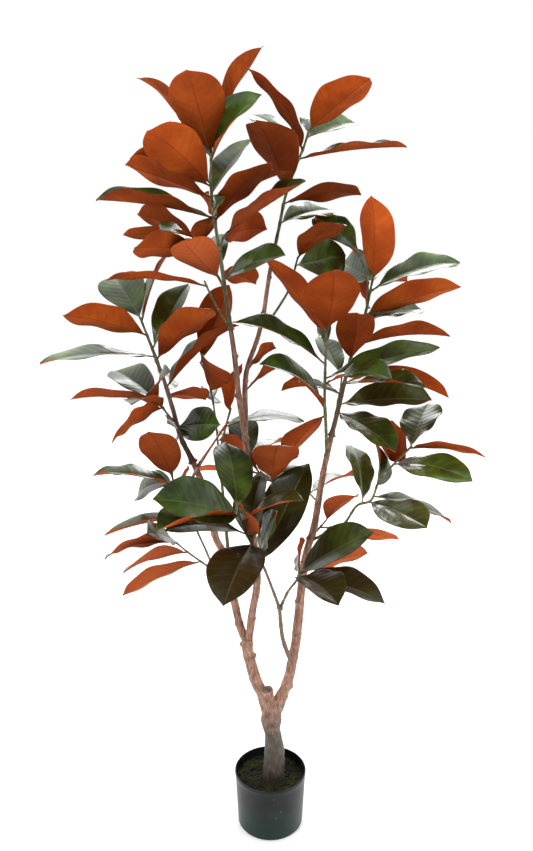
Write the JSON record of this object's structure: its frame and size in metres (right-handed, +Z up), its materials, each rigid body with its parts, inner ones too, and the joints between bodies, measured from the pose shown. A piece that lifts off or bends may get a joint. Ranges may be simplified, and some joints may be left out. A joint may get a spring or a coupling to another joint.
{
  "type": "potted magnolia tree",
  "caption": "Tall slim magnolia with leathery leaves, green above and rust brown below, on forked bare limbs in a round dark nursery pot.",
  "frame": {"origin": "centre of the pot's flat underside, on the floor", "axes": "+Z up along the pot's axis, +X to the right seen from the front, the front facing -Y"},
  "size_m": [0.7609, 0.506, 1.4966],
  "materials": {
    "pot_plastic": "thin dark blue-green-black plastic with a satin shine",
    "soil_moss": "cast filler under dark crumbled soil and moss",
    "trunk_bark": "matte grey-brown bark, smooth with fine wrinkles",
    "limb_bark": "matte red-brown fibrous bark with knots",
    "green_stem": "olive green-brown stem, matte",
    "leafy_shoot": "leaves rust-orange and suede-like below, dark green and glossy above, on olive stems"
  },
  "bodies": {
    "root": {"back_middle_twig": "leafy_shoot", "back_right_twig": "leafy_shoot", "back_stem": "leafy_shoot", "centre_twig": "leafy_shoot", "crown_limb": "limb_bark", "crown_shoot": "leafy_shoot", "crown_side_twig": "leafy_shoot", "front_left_twig": "leafy_shoot", "front_right_twig": "leafy_shoot", "front_twig": "green_stem", "green_shoot": "leafy_shoot", "inner_twig": "leafy_shoot", "left_fork_twig": "leafy_shoot", "left_limb": "limb_bark", "left_shoot": "leafy_shoot", "left_stem": "limb_bark", "left_twig": "leafy_shoot", "low_left_twig": "leafy_shoot", "mid_left_twig": "leafy_shoot", "middle_limb": "limb_bark", "middle_shoot": "leafy_shoot", "pot": "pot_plastic", "rear_middle_twig": "leafy_shoot", "rear_right_twig": "leafy_shoot", "right_limb": "limb_bark", "right_shoot": "leafy_shoot", "right_twig": "leafy_shoot", "short_middle_twig": "leafy_shoot", "short_right_twig": "leafy_shoot", "soil": "soil_moss", "trunk": "trunk_bark", "upper_left_twig": "leafy_shoot"}
  },
  "joints": []
}
